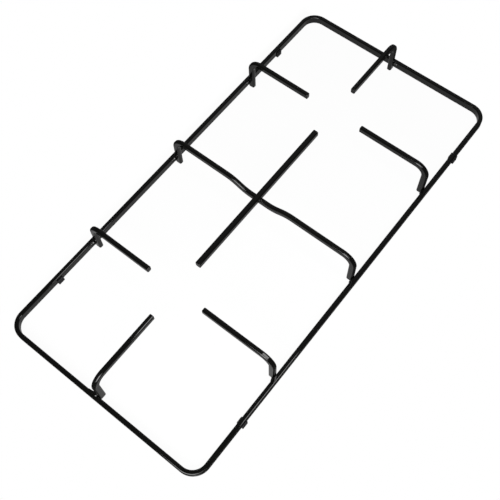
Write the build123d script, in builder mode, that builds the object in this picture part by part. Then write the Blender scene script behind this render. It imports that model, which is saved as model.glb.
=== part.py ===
"""Pan support for a gas hob: enamelled steel bars welded into a two-burner grid.

Millimetres, +Z up. The origin is on the hob plate, under the middle of the frame. X runs across
the support, from the left long side to the right one, and Y runs along it, from front to rear.
"""

import os

from build123d import *

# Frame: one flat bar on edge, bent to a rounded rectangle
frame_width = 230.0
frame_length = 476.0
frame_corner_radius = 18.0
frame_bar_thickness = 4.5
frame_bar_height = 8.6
frame_edge_radius = 1.0

# Fingers and cross bar: one rectangular bar, bent to legs and arms
finger_width = 4.8
finger_depth = 6.8
finger_edge_chamfer = 0.9
finger_bend_radius = 8.6
cut_end_chamfer = 0.5

# Long bar: straight, lying in the dip of the cross bar
long_bar_width = 5.8
long_bar_height = 6.8
long_bar_edge_radius = 1.4
long_bar_overhang = 1.7

# Dip in the middle of the cross bar
dip_top_length = 66.0
dip_floor_length = 32.0
dip_bend_radius = 35.0

# Burners: two on one line, a little to the left of the frame's middle
burner_spacing = 242.2
burner_line_offset = -2.4
burner_opening = 64.0

# Feet: rubber saddles under the long sides, a set way in from the frame's ends
foot_inset = 66.0
foot_length = 7.0
foot_wall = 1.3
foot_wall_height = 5.4
foot_base = 2.0
foot_edge_radius = 0.5

# Top of the fingers above the hob plate
pan_height = 45.6

# Places worked out from the sizes above
frame_bottom = foot_base
frame_side_x = (frame_width - frame_bar_thickness) / 2
arm_height = pan_height - finger_depth / 2
arm_bend_radius = finger_bend_radius + finger_depth / 2
leg_bottom = frame_bottom
side_leg_x = frame_width / 2 - frame_bar_thickness - finger_depth / 2
end_leg_y = frame_length / 2 - frame_bar_thickness - finger_depth / 2
burner_y = burner_spacing / 2
foot_y = frame_length / 2 - foot_inset
dip_depth = long_bar_height

os.makedirs("parts", exist_ok=True)


def save(builder, name):
    """Labels a finished piece and writes it as its own node."""
    builder.part.label = name
    export_step(builder.part, f"parts/{name}.step")


def make_frame():
    """The bar's ring: an upright band between two rounded rectangles, its four long edges eased."""
    inner_radius = frame_corner_radius - frame_bar_thickness
    inner_width = frame_width - 2 * frame_bar_thickness
    inner_length = frame_length - 2 * frame_bar_thickness
    with BuildPart() as frame:
        with BuildSketch(Plane.XY.offset(frame_bottom)):
            RectangleRounded(frame_width, frame_length, frame_corner_radius)
            RectangleRounded(inner_width, inner_length, inner_radius, mode=Mode.SUBTRACT)
        extrude(amount=frame_bar_height)
        rims = frame.faces().filter_by(Axis.Z)
        fillet(rims.edges(), radius=frame_edge_radius)
    return frame


def draw_finger_section():
    """The fingers' bar in section, drawn in the open sketch: its depth runs along the bend's radius."""
    Rectangle(finger_width, finger_depth)
    chamfer(vertices(), length=finger_edge_chamfer)


def make_finger(foot_point, outward, arm_length):
    """A bar that stands on the frame's inner face and bends inward over the burner.

    foot_point is under the middle of the leg, outward points from the burner to the frame, and
    arm_length runs from the cut tip to the middle of the leg.
    """
    bend_plane = Plane(foot_point, x_dir=outward, z_dir=outward.cross(Vector(0, 0, 1)))
    with BuildPart() as finger:
        with BuildLine(bend_plane) as route:
            FilletPolyline(
                (-arm_length, arm_height),
                (0, arm_height),
                (0, leg_bottom),
                radius=arm_bend_radius,
            )
        with BuildSketch(Plane(route.line @ 0, x_dir=bend_plane.z_dir, z_dir=route.line % 0)):
            draw_finger_section()
        sweep()
        tip = finger.faces().sort_by(Axis(foot_point, outward))[0]
        leg_end = finger.faces().sort_by(Axis.Z)[0]
        chamfer(tip.edges() + leg_end.edges(), length=cut_end_chamfer)
    return finger


def make_cross_bar():
    """A bar from one long side to the other, with a leg at each end and a dip under the long bar."""
    dip_height = arm_height - dip_depth
    dip_top_left = burner_line_offset - dip_top_length / 2
    dip_top_right = burner_line_offset + dip_top_length / 2
    dip_floor_left = burner_line_offset - dip_floor_length / 2
    dip_floor_right = burner_line_offset + dip_floor_length / 2
    with BuildPart() as cross_bar:
        with BuildLine(Plane.XZ) as route:
            FilletPolyline(
                (-side_leg_x, leg_bottom),
                (-side_leg_x, arm_height),
                (dip_top_left, arm_height),
                (dip_floor_left, dip_height),
                (dip_floor_right, dip_height),
                (dip_top_right, arm_height),
                (side_leg_x, arm_height),
                (side_leg_x, leg_bottom),
                radius=[arm_bend_radius] + 4 * [dip_bend_radius] + [arm_bend_radius],
            )
        with BuildSketch(Plane(route.line @ 0, x_dir=Vector(0, 1, 0), z_dir=route.line % 0)):
            draw_finger_section()
        sweep()
        leg_ends = cross_bar.faces().sort_by(Axis.Z)[:2]
        chamfer(leg_ends.edges(), length=cut_end_chamfer)
    return cross_bar


def make_long_bar():
    """The straight bar that lies in the dip, level with the fingers, and serves both burners."""
    length = burner_spacing - burner_opening + 2 * long_bar_overhang
    middle = Vector(burner_line_offset, 0, pan_height - long_bar_height / 2)
    with BuildPart() as long_bar:
        with BuildSketch(Plane(middle, x_dir=Plane.XZ.x_dir, z_dir=Plane.XZ.z_dir)):
            RectangleRounded(long_bar_width, long_bar_height, long_bar_edge_radius)
        extrude(amount=length / 2, both=True)
        cut_ends = long_bar.faces().filter_by(Axis.Y)
        chamfer(cut_ends.edges(), length=cut_end_chamfer)
    return long_bar


def make_foot(x, y):
    """A rubber saddle that clips on the frame bar from below and carries it clear of the hob plate."""
    saddle_width = frame_bar_thickness + 2 * foot_wall
    saddle_height = foot_base + foot_wall_height
    with BuildPart() as foot:
        with BuildSketch(Plane(Vector(x, y, 0), x_dir=Plane.XZ.x_dir, z_dir=Plane.XZ.z_dir)):
            Rectangle(saddle_width, saddle_height, align=(Align.CENTER, Align.MIN))
            with Locations((0, foot_base)):
                Rectangle(
                    frame_bar_thickness,
                    foot_wall_height,
                    align=(Align.CENTER, Align.MIN),
                    mode=Mode.SUBTRACT,
                )
        extrude(amount=foot_length / 2, both=True)
        sides = foot.faces().filter_by(Axis.X)
        outer_sides = sides.sort_by(Axis.X)[:1] + sides.sort_by(Axis.X)[-1:]
        fillet(outer_sides.edges(), radius=foot_edge_radius)
    return foot


save(make_frame(), "frame")

side_arm_left = side_leg_x + burner_line_offset - burner_opening / 2
side_arm_right = side_leg_x - burner_line_offset - burner_opening / 2
for row, y in (("front", -burner_y), ("rear", burner_y)):
    left_foot = Vector(-side_leg_x, y, 0)
    right_foot = Vector(side_leg_x, y, 0)
    save(make_finger(left_foot, Vector(-1, 0, 0), side_arm_left), f"finger_left_{row}")
    save(make_finger(right_foot, Vector(1, 0, 0), side_arm_right), f"finger_right_{row}")

end_arm = end_leg_y - burner_y - burner_opening / 2
for row, direction in (("front", -1), ("rear", 1)):
    end_foot = Vector(burner_line_offset, direction * end_leg_y, 0)
    save(make_finger(end_foot, Vector(0, direction, 0), end_arm), f"finger_{row}")

save(make_cross_bar(), "cross_bar")
save(make_long_bar(), "long_bar")

for side, x in (("left", -frame_side_x), ("right", frame_side_x)):
    for row, y in (("front", -foot_y), ("rear", foot_y)):
        save(make_foot(x, y), f"foot_{side}_{row}")
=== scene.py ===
"""Looks of the hob pan support: welded bars in gloss black enamel, rubber feet, a white studio.

Metres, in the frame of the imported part: +X across the support, +Y along it to the rear, +Z up.
"""

import math

import bmesh
import bpy
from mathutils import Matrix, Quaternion, Vector, noise


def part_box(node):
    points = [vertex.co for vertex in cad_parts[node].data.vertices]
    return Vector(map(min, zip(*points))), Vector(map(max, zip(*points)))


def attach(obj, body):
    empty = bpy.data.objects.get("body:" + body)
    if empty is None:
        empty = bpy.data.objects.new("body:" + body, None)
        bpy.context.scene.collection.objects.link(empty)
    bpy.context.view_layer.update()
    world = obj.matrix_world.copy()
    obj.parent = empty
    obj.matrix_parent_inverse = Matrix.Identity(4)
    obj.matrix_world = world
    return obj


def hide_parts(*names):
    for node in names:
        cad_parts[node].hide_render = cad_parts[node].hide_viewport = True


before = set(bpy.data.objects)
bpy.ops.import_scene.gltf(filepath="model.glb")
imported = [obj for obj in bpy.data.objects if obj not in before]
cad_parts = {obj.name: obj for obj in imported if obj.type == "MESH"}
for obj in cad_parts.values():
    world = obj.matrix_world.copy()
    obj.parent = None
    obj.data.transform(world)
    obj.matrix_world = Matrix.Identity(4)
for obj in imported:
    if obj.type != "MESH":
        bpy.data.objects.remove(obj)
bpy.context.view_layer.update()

MM = 0.001
RIGHTWARD = Vector((1, 0, 0))
FORWARD = Vector((0, -1, 0))
UP = Vector((0, 0, 1))
ENAMEL_SLOT = "black_enamel"
RUBBER_SLOT = "black_rubber"

# Bars, with the rounded edges that rolled bar has under enamel
FRAME_BAR_THICKNESS = 4.5 * MM
FRAME_CORNER_RADIUS = 18.0 * MM
FRAME_EDGE_RADIUS = 1.1 * MM
FINGER_DEPTH = 6.8 * MM
FINGER_EDGE_RADIUS = 1.6 * MM
FINGER_BEND_RADIUS = 12.0 * MM
LONG_BAR_EDGE_RADIUS = 1.5 * MM
DIP_TOP_LENGTH = 66.0 * MM
DIP_FLOOR_LENGTH = 32.0 * MM
DIP_BEND_RADIUS = 35.0 * MM
CUT_END_RADIUS = 0.7 * MM

# Fineness of the bars' meshes
EDGE_STEPS = 6
CUT_END_STEPS = 4
BEND_STEP = math.radians(4)
RUN_STEP = 12.0 * MM

# Welds: tapering runs of metal along the frame. WELD_SINK and LONG_BAR_WELD_OFFSET are shares of the
# radius, WELD_STATIONS shares of the length, and LONG_BAR_WELD_REACH a share of the cross bar's width
LEG_WELD_RADIUS = 3.2 * MM
LEG_WELD_LENGTH = 5.5 * MM
LEG_WELD_RISE = 1.0 * MM
FRONT_WELD_RADIUS = 2.0 * MM
FRONT_WELD_LENGTH = 9.0 * MM
FRONT_WELD_RISE = 3.4 * MM
WELD_SINK = 0.25
WELD_TAPER = 0.62
WELD_STATIONS = (-0.3, 0.1, 0.5, 1.0)
LONG_BAR_WELD_RADIUS = 1.0 * MM
LONG_BAR_WELD_OFFSET = 0.3
LONG_BAR_WELD_REACH = 1 / 3

# Surface of the weld metal, and the fineness of its mesh
BEAD_PITCH = 2.7 * MM
BEAD_RIPPLE = 0.03
BEAD_UNEVENNESS = 0.08
BEAD_NOISE_SCALE = 420.0
BEAD_STEP = 0.3 * MM
BEAD_SIDES = 18

# Rubber feet
FOOT_WALL = 1.3 * MM
FOOT_BASE = 2.0 * MM
FOOT_EDGE_RADIUS = 0.45 * MM
FOOT_EDGE_STEPS = 3

# Enamel: tones, waves per metre, and the depth of its orange peel
ENAMEL_DARK = (0.0018, 0.0018, 0.0016, 1)
ENAMEL_LIGHT = (0.0030, 0.0030, 0.0027, 1)
ENAMEL_CLOUDS = 60.0
ENAMEL_PEEL = 450.0
ENAMEL_PEEL_DEPTH = 0.0008 * MM
ENAMEL_COAT_ROUGHNESS = 0.05

# Rubber: tones, waves per metre, and the depth of its grain
RUBBER_DARK = (0.014, 0.014, 0.015, 1)
RUBBER_LIGHT = (0.021, 0.021, 0.022, 1)
RUBBER_CLOUDS = 300.0
RUBBER_GRAIN = 2500.0
RUBBER_GRAIN_DEPTH = 0.03 * MM
RUBBER_SPECULAR = 0.15

# Range that most of a noise's values lie in
NOISE_LOW = 0.3
NOISE_HIGH = 0.7

# Floor: white to the eye. Painted reflection: reflections see it glow dim, with a brighter pool of glow
# that ends this far past the frame
FLOOR_HALF = 6.0
REFLECTION_POOL_LEFT = 13.0 * MM
REFLECTION_POOL_RIGHT = -3.0 * MM
REFLECTION_POOL_FRONT = -3.0 * MM
REFLECTION_POOL_REAR = 5.0 * MM
REFLECTION_POOL_FADE = 3.0 * MM
FLOOR_COLOUR = (0.92, 0.92, 0.92, 1)
POOL_SEEN_GLOW = 0.96
BEYOND_GLOW = 1.0
# Painted reflection: glow that only reflections see, on the pool under the support and beyond it
MIRRORED_POOL_GLOW = 0.37
MIRRORED_BEYOND = 0.06

# Walls: white to the eye, and in reflections dim but for a pale part, bounded by cosines from its middle
PALE_WALL_WAY = Vector((-0.3, 0.75, 0.6)).normalized()
PALE_WALL = 0.2
DIM_WALL = 0.06
PALE_WALL_CORE = 0.97
PALE_WALL_EDGE = 0.72
WHITE = (1.0, 1.0, 1.0, 1)

# View of the photograph
CAMERA_PLACE = Vector((228.4, -280.8, 690.7)) * MM
CAMERA_TARGET = Vector((12.5, -34.5, 0.0)) * MM
CAMERA_ROLL = math.radians(-3.18)
LENS_MM = 56.3
SENSOR_MM = 36.0


def rounded_section(width, depth, radius):
    """Points round a rounded rectangle, counter-clockwise, its depth along the second coordinate."""
    points = []
    for quarter in range(4):
        sign_w = 1 if quarter in (0, 3) else -1
        sign_d = 1 if quarter in (0, 1) else -1
        centre = Vector((sign_w * (width / 2 - radius), sign_d * (depth / 2 - radius)))
        for step in range(EDGE_STEPS + 1):
            angle = math.pi / 2 * (quarter + step / EDGE_STEPS)
            points.append(centre + radius * Vector((math.cos(angle), math.sin(angle))))
    return points


def straight_run(start, end):
    """Stations (place, direction) from start up to, but without, end."""
    steps = max(1, round((end - start).length / RUN_STEP))
    direction = (end - start).normalized()
    return [(start.lerp(end, step / steps), direction) for step in range(steps)]


def bent_route(corners, radii):
    """Stations along the straight runs between corners, joined by an arc at each inner corner."""
    stations = []
    start = corners[0]
    for before, corner, after, radius in zip(corners, corners[1:], corners[2:], radii):
        way_in = (corner - before).normalized()
        way_out = (after - corner).normalized()
        turn = way_in.angle(way_out)
        tangent_length = radius * math.tan(turn / 2)
        arc_start = corner - way_in * tangent_length
        stations += straight_run(start, arc_start)
        axis = way_in.cross(way_out).normalized()
        centre = arc_start + axis.cross(way_in) * radius
        steps = max(2, round(turn / BEND_STEP))
        for step in range(steps):
            swing = Quaternion(axis, turn * step / steps)
            stations.append((centre + swing @ (arc_start - centre), swing @ way_in))
        start = corner + way_out * tangent_length
    stations += straight_run(start, corners[-1])
    stations.append((corners[-1], (corners[-1] - corners[-2]).normalized()))
    return stations


def cut_end_rings(place, inward, direction, width, depth, edge_radius):
    """Rings of a rounded cut end, from the flat cut to the full section."""
    rings = []
    for step in range(CUT_END_STEPS + 1):
        angle = math.pi / 2 * step / CUT_END_STEPS
        inset = CUT_END_RADIUS * (1 - math.sin(angle))
        along = CUT_END_RADIUS * (1 - math.cos(angle))
        section = rounded_section(width - 2 * inset, depth - 2 * inset, edge_radius - inset)
        rings.append((place + inward * along, direction, section))
    return rings


def mesh_from(name, vertices, faces):
    """A smooth-shaded mesh."""
    mesh = bpy.data.meshes.new(name)
    mesh.from_pydata(vertices, [], faces)
    mesh.update()
    mesh.shade_smooth()
    return mesh


def ring_faces(rings, sides, closed):
    """Quads between neighbouring rings, and flat caps where the row of rings is open."""
    faces = []
    total = rings * sides
    for ring in range(rings if closed else rings - 1):
        for side in range(sides):
            a = ring * sides + side
            b = ring * sides + (side + 1) % sides
            faces.append((a, b, (b + sides) % total, (a + sides) % total))
    if not closed:
        faces.append(tuple(reversed(range(sides))))
        faces.append(tuple(range(total - sides, total)))
    return faces


def swept_bar(name, corners, radii, width_axis, width, depth, edge_radius, closed=False):
    """A bar bent in the plane across width_axis, with rounded edges and rounded cut ends."""
    stations = bent_route(corners, radii)
    section = rounded_section(width, depth, edge_radius)
    if closed:
        rings = [(place, direction, section) for place, direction in stations[:-1]]
    else:
        first, way_in = stations[0]
        last, way_out = stations[-1]
        rings = cut_end_rings(first, way_in, way_in, width, depth, edge_radius)
        rings += [(place, direction, section) for place, direction in stations[1:-1]]
        rings += reversed(cut_end_rings(last, -way_out, way_out, width, depth, edge_radius))
    vertices = []
    for place, direction, outline in rings:
        depth_axis = width_axis.cross(direction).normalized()
        vertices += [place + width_axis * w + depth_axis * d for w, d in outline]
    return mesh_from(name, vertices, ring_faces(len(rings), len(section), closed))


def smooth_path(points, weights):
    """Places and weights sampled along a Catmull-Rom curve through a few points."""
    padded = [points[0] * 2 - points[1], *points, points[-1] * 2 - points[-2]]
    samples = []
    for index in range(len(points) - 1):
        p0, p1, p2, p3 = padded[index:index + 4]
        steps = max(2, round((p2 - p1).length / BEAD_STEP))
        for step in range(steps):
            t = step / steps
            place = p1 * 2 + (p2 - p0) * t + (p0 * 2 - p1 * 5 + p2 * 4 - p3) * t ** 2
            place = (place + (p1 * 3 - p0 - p2 * 3 + p3) * t ** 3) / 2
            samples.append((place, weights[index] * (1 - t) + weights[index + 1] * t))
    samples.append((points[-1], weights[-1]))
    return samples


def bead_mesh(name, points, radii):
    """A run of weld metal: a tube with a slight ripple, uneven all over and round at its ends."""
    samples = smooth_path(points, radii)
    lengths = [0.0]
    for (place, _), (after, _) in zip(samples, samples[1:]):
        lengths.append(lengths[-1] + (after - place).length)
    total = lengths[-1]
    vertices = [samples[0][0]]
    direction = (samples[1][0] - samples[0][0]).normalized()
    across = direction.orthogonal().normalized()
    for index in range(1, len(samples) - 1):
        place, radius = samples[index]
        onward = (samples[index + 1][0] - samples[index - 1][0]).normalized()
        across = direction.rotation_difference(onward) @ across
        direction = onward
        to_end = min(lengths[index], total - lengths[index])
        rounding = math.sqrt(max(0.0, 1 - max(0.0, 1 - to_end / radius) ** 2))
        ripple = 1 + BEAD_RIPPLE * math.cos(math.tau * lengths[index] / BEAD_PITCH)
        for side in range(BEAD_SIDES):
            ray = Quaternion(direction, math.tau * side / BEAD_SIDES) @ across
            uneven = 1 + BEAD_UNEVENNESS * noise.noise((place + ray * radius) * BEAD_NOISE_SCALE)
            vertices.append(place + ray * radius * rounding * ripple * uneven)
    vertices.append(samples[-1][0])
    return mesh_from(name, vertices, bead_faces(len(samples) - 2))


def bead_faces(rings):
    """Quads round a bead, with a fan of triangles at each end."""
    faces = []
    last = rings * BEAD_SIDES + 1
    for side in range(BEAD_SIDES):
        after = (side + 1) % BEAD_SIDES
        faces.append((0, 1 + after, 1 + side))
        faces.append((last, last - BEAD_SIDES + side, last - BEAD_SIDES + after))
        for ring in range(rings - 1):
            a = 1 + ring * BEAD_SIDES + side
            b = 1 + ring * BEAD_SIDES + after
            faces.append((a, b, b + BEAD_SIDES, a + BEAD_SIDES))
    return faces


def add_piece(name, mesh, material, slot, *stands_for):
    """Puts a mesh in the scene as a piece that rides on the support."""
    piece = bpy.data.objects.new(name, mesh)
    bpy.context.scene.collection.objects.link(piece)
    mesh.materials.append(material)
    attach(piece, "root")
    if stands_for:
        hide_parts(*stands_for)
    return piece


def dress(node, finish, mesh, material, slot):
    """A piece that stands for its node; its broad faces keep flat normals beside the rounded edges."""
    piece = add_piece(f"{node}_{finish}", mesh, material, slot, node)
    piece.modifiers.new("flat_faces", "WEIGHTED_NORMAL")


def add_bar(node, mesh, material):
    """A bar of the support, under enamel."""
    dress(node, "enamelled", mesh, material, ENAMEL_SLOT)


def add_frame(material):
    """The frame's closed ring."""
    low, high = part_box("frame")
    inset = FRAME_BAR_THICKNESS / 2
    x, y = high.x - inset, high.y - inset
    z = (low.z + high.z) / 2
    seam = Vector((0, -y, z))
    corners = [Vector((x, -y, z)), Vector((x, y, z)), Vector((-x, y, z)), Vector((-x, -y, z))]
    radii = 4 * [FRAME_CORNER_RADIUS - inset]
    mesh = swept_bar(
        "frame",
        [seam, *corners, seam],
        radii,
        width_axis=UP,
        width=high.z - low.z,
        depth=FRAME_BAR_THICKNESS,
        edge_radius=FRAME_EDGE_RADIUS,
        closed=True,
    )
    add_bar("frame", mesh, material)


def finger_layout(node):
    """The way out to the frame, the way across the bar, its width, and its leg's middle line."""
    low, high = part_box(node)
    middle = (low + high) / 2
    spans_x = high.x - low.x > high.y - low.y
    along, across = (0, 1) if spans_x else (1, 0)
    outward = Vector((0, 0, 0))
    outward[along] = 1 if middle[along] > 0 else -1
    width_axis = Vector((0, 0, 0))
    width_axis[across] = 1
    leg = middle.copy()
    leg[along] = (high if outward[along] > 0 else low)[along] - outward[along] * FINGER_DEPTH / 2
    return outward, width_axis, high[across] - low[across], leg


def add_finger(node, material):
    """A finger: an arm from its cut tip to the bend, and the leg down to the frame."""
    low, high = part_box(node)
    outward, width_axis, width, leg = finger_layout(node)
    arm_z = high.z - FINGER_DEPTH / 2
    length = abs((high - low).dot(outward)) - FINGER_DEPTH / 2
    corner = Vector((leg.x, leg.y, arm_z))
    corners = [corner - outward * length, corner, Vector((leg.x, leg.y, low.z))]
    radii = [FINGER_BEND_RADIUS]
    mesh = swept_bar(node, corners, radii, width_axis, width, FINGER_DEPTH, FINGER_EDGE_RADIUS)
    add_bar(node, mesh, material)


def add_cross_bar(material):
    """The bar from side to side, with its dip under the long bar."""
    low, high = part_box("cross_bar")
    long_low, long_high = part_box("long_bar")
    dip_x = (long_low.x + long_high.x) / 2
    top = high.z - FINGER_DEPTH / 2
    floor = top - (long_high.z - long_low.z)
    leg_x = high.x - FINGER_DEPTH / 2
    outline = [
        (-leg_x, low.z),
        (-leg_x, top),
        (dip_x - DIP_TOP_LENGTH / 2, top),
        (dip_x - DIP_FLOOR_LENGTH / 2, floor),
        (dip_x + DIP_FLOOR_LENGTH / 2, floor),
        (dip_x + DIP_TOP_LENGTH / 2, top),
        (leg_x, top),
        (leg_x, low.z),
    ]
    y = (low.y + high.y) / 2
    corners = [Vector((x, y, z)) for x, z in outline]
    radii = [FINGER_BEND_RADIUS] + 4 * [DIP_BEND_RADIUS] + [FINGER_BEND_RADIUS]
    width = high.y - low.y
    mesh = swept_bar("cross_bar", corners, radii, -FORWARD, width, FINGER_DEPTH, FINGER_EDGE_RADIUS)
    add_bar("cross_bar", mesh, material)


def add_long_bar(material):
    """The straight bar that lies in the dip."""
    low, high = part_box("long_bar")
    middle = (low + high) / 2
    ends = [Vector((middle.x, low.y, middle.z)), Vector((middle.x, high.y, middle.z))]
    width, height = high.x - low.x, high.z - low.z
    mesh = swept_bar("long_bar", ends, [], RIGHTWARD, width, height, LONG_BAR_EDGE_RADIUS)
    add_bar("long_bar", mesh, material)


def add_leg_weld(name, leg, outward, side, width, size, material):
    """Weld metal in the corner of a leg and the frame's inner face, tapering off along the frame.

    leg is on the leg's middle line, outward points to the frame, and side is the way along the
    frame from the leg. size is the run's radius, length and rise above the frame's middle height.
    """
    radius, length, rise = size
    low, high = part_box("frame")
    root = leg + outward * (FINGER_DEPTH / 2 + WELD_SINK * radius) + side * width / 2
    root.z = (low.z + high.z) / 2 + rise
    points = [root + side * length * share for share in WELD_STATIONS]
    radii = [radius * (1 - WELD_TAPER * max(0.0, share)) for share in WELD_STATIONS]
    add_piece(name, bead_mesh(name, points, radii), material, ENAMEL_SLOT)


def add_long_bar_weld(name, side, material):
    """Weld metal in the corner of the long bar and the cross bar."""
    long_low, long_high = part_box("long_bar")
    cross_low, cross_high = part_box("cross_bar")
    offset = LONG_BAR_WELD_OFFSET * LONG_BAR_WELD_RADIUS
    x = long_high.x + offset if side > 0 else long_low.x - offset
    z = long_low.z + offset
    reach = LONG_BAR_WELD_REACH * (cross_high.y - cross_low.y)
    middle = (cross_low.y + cross_high.y) / 2
    points = [Vector((x, middle + step * reach, z)) for step in (-1, 0, 1)]
    add_piece(name, bead_mesh(name, points, 3 * [LONG_BAR_WELD_RADIUS]), material, ENAMEL_SLOT)


def add_welds(material):
    """The weld at each leg, and the two where the long bar lies on the cross bar."""
    leg_size = (LEG_WELD_RADIUS, LEG_WELD_LENGTH, LEG_WELD_RISE)
    front_size = (FRONT_WELD_RADIUS, FRONT_WELD_LENGTH, FRONT_WELD_RISE)
    for row in ("front", "rear"):
        for hand in ("left", "right"):
            outward, _, width, leg = finger_layout(f"finger_{hand}_{row}")
            add_leg_weld(f"weld_{hand}_{row}", leg, outward, FORWARD, width, leg_size, material)
    outward, _, width, leg = finger_layout("finger_front")
    add_leg_weld("weld_front", leg, outward, -RIGHTWARD, width, front_size, material)
    outward, _, width, leg = finger_layout("finger_rear")
    add_leg_weld("weld_rear", leg, outward, RIGHTWARD, width, leg_size, material)
    low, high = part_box("cross_bar")
    width = high.y - low.y
    for hand, side in (("left", -1), ("right", 1)):
        leg = Vector((side * (high.x - FINGER_DEPTH / 2), (low.y + high.y) / 2, 0))
        add_leg_weld(f"weld_cross_bar_{hand}", leg, RIGHTWARD * side, FORWARD, width, leg_size, material)
        add_long_bar_weld(f"weld_long_bar_{hand}", side, material)


def add_foot(node, material):
    """A saddle of rubber round the frame's bar, with rounded edges."""
    low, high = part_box(node)
    outline = [
        (low.x, low.z),
        (high.x, low.z),
        (high.x, high.z),
        (high.x - FOOT_WALL, high.z),
        (high.x - FOOT_WALL, low.z + FOOT_BASE),
        (low.x + FOOT_WALL, low.z + FOOT_BASE),
        (low.x + FOOT_WALL, high.z),
        (low.x, high.z),
    ]
    work = bmesh.new()
    corners = [work.verts.new((x, y, z)) for y in (high.y, low.y) for x, z in outline]
    for face in ring_faces(2, len(outline), closed=False):
        work.faces.new([corners[index] for index in face])
    bmesh.ops.recalc_face_normals(work, faces=work.faces)
    bmesh.ops.bevel(
        work,
        geom=list(work.edges),
        offset=FOOT_EDGE_RADIUS,
        segments=FOOT_EDGE_STEPS,
        profile=0.5,
        affect="EDGES",
        clamp_overlap=True,
    )
    mesh = bpy.data.meshes.new(node)
    work.to_mesh(mesh)
    work.free()
    mesh.shade_smooth()
    dress(node, "moulded", mesh, material, RUBBER_SLOT)


def new_material(name):
    """A material with its tree and its Principled shader."""
    material = bpy.data.materials.new(name)
    material.use_nodes = True
    return material, material.node_tree, material.node_tree.nodes["Principled BSDF"]


def noise_texture(tree, scale, detail):
    """Noise in the object's own coordinates, waves per metre."""
    place = tree.nodes.new("ShaderNodeTexCoord")
    texture = tree.nodes.new("ShaderNodeTexNoise")
    texture.inputs["Scale"].default_value = scale
    texture.inputs["Detail"].default_value = detail
    tree.links.new(place.outputs["Object"], texture.inputs["Vector"])
    return texture.outputs["Fac"]


def spread(tree, value, low, high, start=NOISE_LOW, end=NOISE_HIGH):
    """Maps the range from start to end, a noise's unless it is given, to the range from low to high."""
    node = tree.nodes.new("ShaderNodeMapRange")
    node.inputs["From Min"].default_value = start
    node.inputs["From Max"].default_value = end
    node.inputs["To Min"].default_value = low
    node.inputs["To Max"].default_value = high
    tree.links.new(value, node.inputs["Value"])
    return node.outputs["Result"]


def two_tone(tree, value, dark, light):
    """A colour between two tones."""
    ramp = tree.nodes.new("ShaderNodeValToRGB")
    ramp.color_ramp.elements[0].position = NOISE_LOW
    ramp.color_ramp.elements[0].color = dark
    ramp.color_ramp.elements[1].position = NOISE_HIGH
    ramp.color_ramp.elements[1].color = light
    tree.links.new(value, ramp.inputs["Fac"])
    return ramp.outputs["Color"]


def bump(tree, height, depth):
    """Bump of a real depth in metres."""
    node = tree.nodes.new("ShaderNodeBump")
    node.inputs["Strength"].default_value = 1.0
    node.inputs["Distance"].default_value = depth
    tree.links.new(height, node.inputs["Height"])
    return node.outputs["Normal"]


def enamel_material():
    """Gloss black vitreous enamel: a thin glassy coat with a slight orange peel over deep black."""
    material, tree, shader = new_material(ENAMEL_SLOT)
    clouds = noise_texture(tree, ENAMEL_CLOUDS, detail=3.0)
    peel = noise_texture(tree, ENAMEL_PEEL, detail=2.0)
    tone = two_tone(tree, clouds, ENAMEL_DARK, ENAMEL_LIGHT)
    normal = bump(tree, peel, ENAMEL_PEEL_DEPTH)
    tree.links.new(tone, shader.inputs["Base Color"])
    tree.links.new(spread(tree, clouds, low=0.38, high=0.5), shader.inputs["Roughness"])
    tree.links.new(spread(tree, clouds, low=1.0, high=0.9), shader.inputs["Coat Weight"])
    tree.links.new(normal, shader.inputs["Normal"])
    tree.links.new(normal, shader.inputs["Coat Normal"])
    shader.inputs["Specular IOR Level"].default_value = 0.0
    shader.inputs["Coat Roughness"].default_value = ENAMEL_COAT_ROUGHNESS
    return material


def rubber_material():
    """Matt moulded rubber with a fine grain."""
    material, tree, shader = new_material(RUBBER_SLOT)
    clouds = noise_texture(tree, RUBBER_CLOUDS, detail=3.0)
    grain = noise_texture(tree, RUBBER_GRAIN, detail=3.0)
    tone = two_tone(tree, clouds, RUBBER_DARK, RUBBER_LIGHT)
    tree.links.new(tone, shader.inputs["Base Color"])
    tree.links.new(spread(tree, grain, low=0.6, high=0.8), shader.inputs["Roughness"])
    tree.links.new(bump(tree, grain, RUBBER_GRAIN_DEPTH), shader.inputs["Normal"])
    shader.inputs["Specular IOR Level"].default_value = RUBBER_SPECULAR
    return material


def math_node(tree, operation, *values):
    """A math node on sockets and constants."""
    node = tree.nodes.new("ShaderNodeMath")
    node.operation = operation
    for socket, value in zip(node.inputs, values):
        if isinstance(value, bpy.types.NodeSocket):
            tree.links.new(value, socket)
        else:
            socket.default_value = value
    return node.outputs["Value"]


def seen_straight(tree):
    """1 for what the camera sees by itself or through glass."""
    path = tree.nodes.new("ShaderNodeLightPath")
    return math_node(tree, "MAXIMUM", path.outputs["Is Camera Ray"], path.outputs["Is Transmission Ray"])


def beyond_reflection_pool(tree):
    """0 on the pool of painted reflection under the support, rising to 1 over a narrow fade at its edge.
    """
    place = tree.nodes.new("ShaderNodeTexCoord")
    parts = tree.nodes.new("ShaderNodeSeparateXYZ")
    tree.links.new(place.outputs["Object"], parts.inputs["Vector"])
    low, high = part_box("frame")
    left = math_node(tree, "SUBTRACT", low.x - REFLECTION_POOL_LEFT, parts.outputs["X"])
    right = math_node(tree, "SUBTRACT", parts.outputs["X"], high.x + REFLECTION_POOL_RIGHT)
    front = math_node(tree, "SUBTRACT", low.y - REFLECTION_POOL_FRONT, parts.outputs["Y"])
    rear = math_node(tree, "SUBTRACT", parts.outputs["Y"], high.y + REFLECTION_POOL_REAR)
    across = math_node(tree, "MAXIMUM", left, right)
    along = math_node(tree, "MAXIMUM", front, rear)
    outside = math_node(tree, "MAXIMUM", across, along)
    return spread(tree, outside, 0.0, 1.0, -REFLECTION_POOL_FADE, REFLECTION_POOL_FADE)


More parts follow.
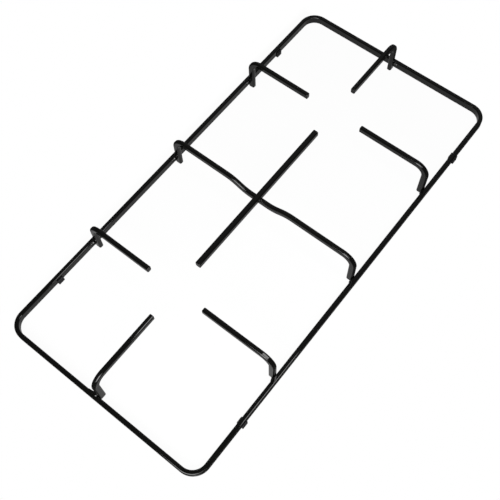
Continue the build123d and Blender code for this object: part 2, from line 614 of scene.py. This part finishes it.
def floor_material():
    """White floor that keeps the object's shadow; painted reflection: reflections see it glow as a pale
    pool under the support on a dim floor.
    """
    material = bpy.data.materials.new("floor")
    material.use_nodes = True
    tree = material.node_tree
    tree.nodes.clear()
    beyond = beyond_reflection_pool(tree)
    paint = tree.nodes.new("ShaderNodeBsdfDiffuse")
    paint.inputs["Color"].default_value = FLOOR_COLOUR
    glow = tree.nodes.new("ShaderNodeEmission")
    path = tree.nodes.new("ShaderNodeLightPath")
    straight = seen_straight(tree)
    mirrored = path.outputs["Is Glossy Ray"]
    share_seen = spread(tree, beyond, POOL_SEEN_GLOW, BEYOND_GLOW, 0.0, 1.0)
    # Painted reflection: glow seen only in reflections, brighter on the pool under the support than
    # beyond it
    level_mirrored = spread(tree, beyond, MIRRORED_POOL_GLOW, MIRRORED_BEYOND, 0.0, 1.0)
    strength = math_node(tree, "MULTIPLY_ADD", mirrored, level_mirrored, straight)
    tree.links.new(strength, glow.inputs["Strength"])
    mix = tree.nodes.new("ShaderNodeMixShader")
    tree.links.new(math_node(tree, "MULTIPLY_ADD", straight, share_seen, mirrored), mix.inputs["Fac"])
    tree.links.new(paint.outputs["BSDF"], mix.inputs[1])
    tree.links.new(glow.outputs["Emission"], mix.inputs[2])
    output = tree.nodes.new("ShaderNodeOutputMaterial")
    tree.links.new(mix.outputs["Shader"], output.inputs["Surface"])
    return material


def add_floor():
    """The floor under the feet."""
    half = FLOOR_HALF
    corners = [(-half, -half, 0), (half, -half, 0), (half, half, 0), (-half, half, 0)]
    mesh = mesh_from("floor", corners, [(0, 1, 2, 3)])
    mesh.materials.append(floor_material())
    floor = bpy.data.objects.new("floor", mesh)
    bpy.context.scene.collection.objects.link(floor)


def add_world():
    """Studio walls: white to the eye, and in reflections dim, with a pale part high at the rear."""
    world = bpy.data.worlds.new("studio")
    world.use_nodes = True
    tree = world.node_tree
    place = tree.nodes.new("ShaderNodeTexCoord")
    nearness = tree.nodes.new("ShaderNodeVectorMath")
    nearness.operation = "DOT_PRODUCT"
    nearness.inputs[1].default_value = PALE_WALL_WAY
    tree.links.new(place.outputs["Generated"], nearness.inputs[0])
    level = spread(tree, nearness.outputs["Value"], DIM_WALL, PALE_WALL, PALE_WALL_EDGE, PALE_WALL_CORE)
    background = tree.nodes["Background"]
    background.inputs["Color"].default_value = WHITE
    tree.links.new(math_node(tree, "MAXIMUM", level, seen_straight(tree)), background.inputs["Strength"])
    bpy.context.scene.world = world


def add_softbox(name, place, width, height, power):
    """A soft lamp that faces the middle of the support and isn't seen itself."""
    lamp = bpy.data.lights.new(name, "AREA")
    lamp.shape = "RECTANGLE"
    lamp.size = width
    lamp.size_y = height
    lamp.energy = power
    box = bpy.data.objects.new(name, lamp)
    bpy.context.scene.collection.objects.link(box)
    box.location = place
    box.rotation_mode = "QUATERNION"
    box.rotation_quaternion = (-place).to_track_quat("-Z", "Y")
    box.visible_camera = False


def add_lamps():
    """A key lamp near the camera, a strip high at the right, and a stronger lamp at the front."""
    add_softbox("light_key", Vector((0.25, -0.45, 0.45)), width=0.5, height=0.5, power=1.8)
    add_softbox("light_right", Vector((0.30, -0.01, 0.55)), width=0.15, height=0.5, power=1.25)
    add_softbox("light_front", Vector((0.20, -0.60, 0.40)), width=0.5, height=0.5, power=4.8)


def add_camera():
    """The photograph's view."""
    camera = bpy.data.cameras.new("camera")
    camera.lens = LENS_MM
    camera.sensor_width = SENSOR_MM
    eye = bpy.data.objects.new("camera", camera)
    bpy.context.scene.collection.objects.link(eye)
    aim = (CAMERA_TARGET - CAMERA_PLACE).to_track_quat("-Z", "Y")
    eye.location = CAMERA_PLACE
    eye.rotation_mode = "QUATERNION"
    eye.rotation_quaternion = aim @ Quaternion((0, 0, 1), CAMERA_ROLL)
    bpy.context.scene.camera = eye


enamel = enamel_material()
rubber = rubber_material()

add_frame(enamel)
for node in sorted(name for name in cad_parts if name.startswith("finger_")):
    add_finger(node, enamel)
add_cross_bar(enamel)
add_long_bar(enamel)
add_welds(enamel)
for node in sorted(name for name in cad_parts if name.startswith("foot_")):
    add_foot(node, rubber)

add_floor()
add_world()
add_lamps()
add_camera()
bpy.context.scene.view_settings.view_transform = "Standard"
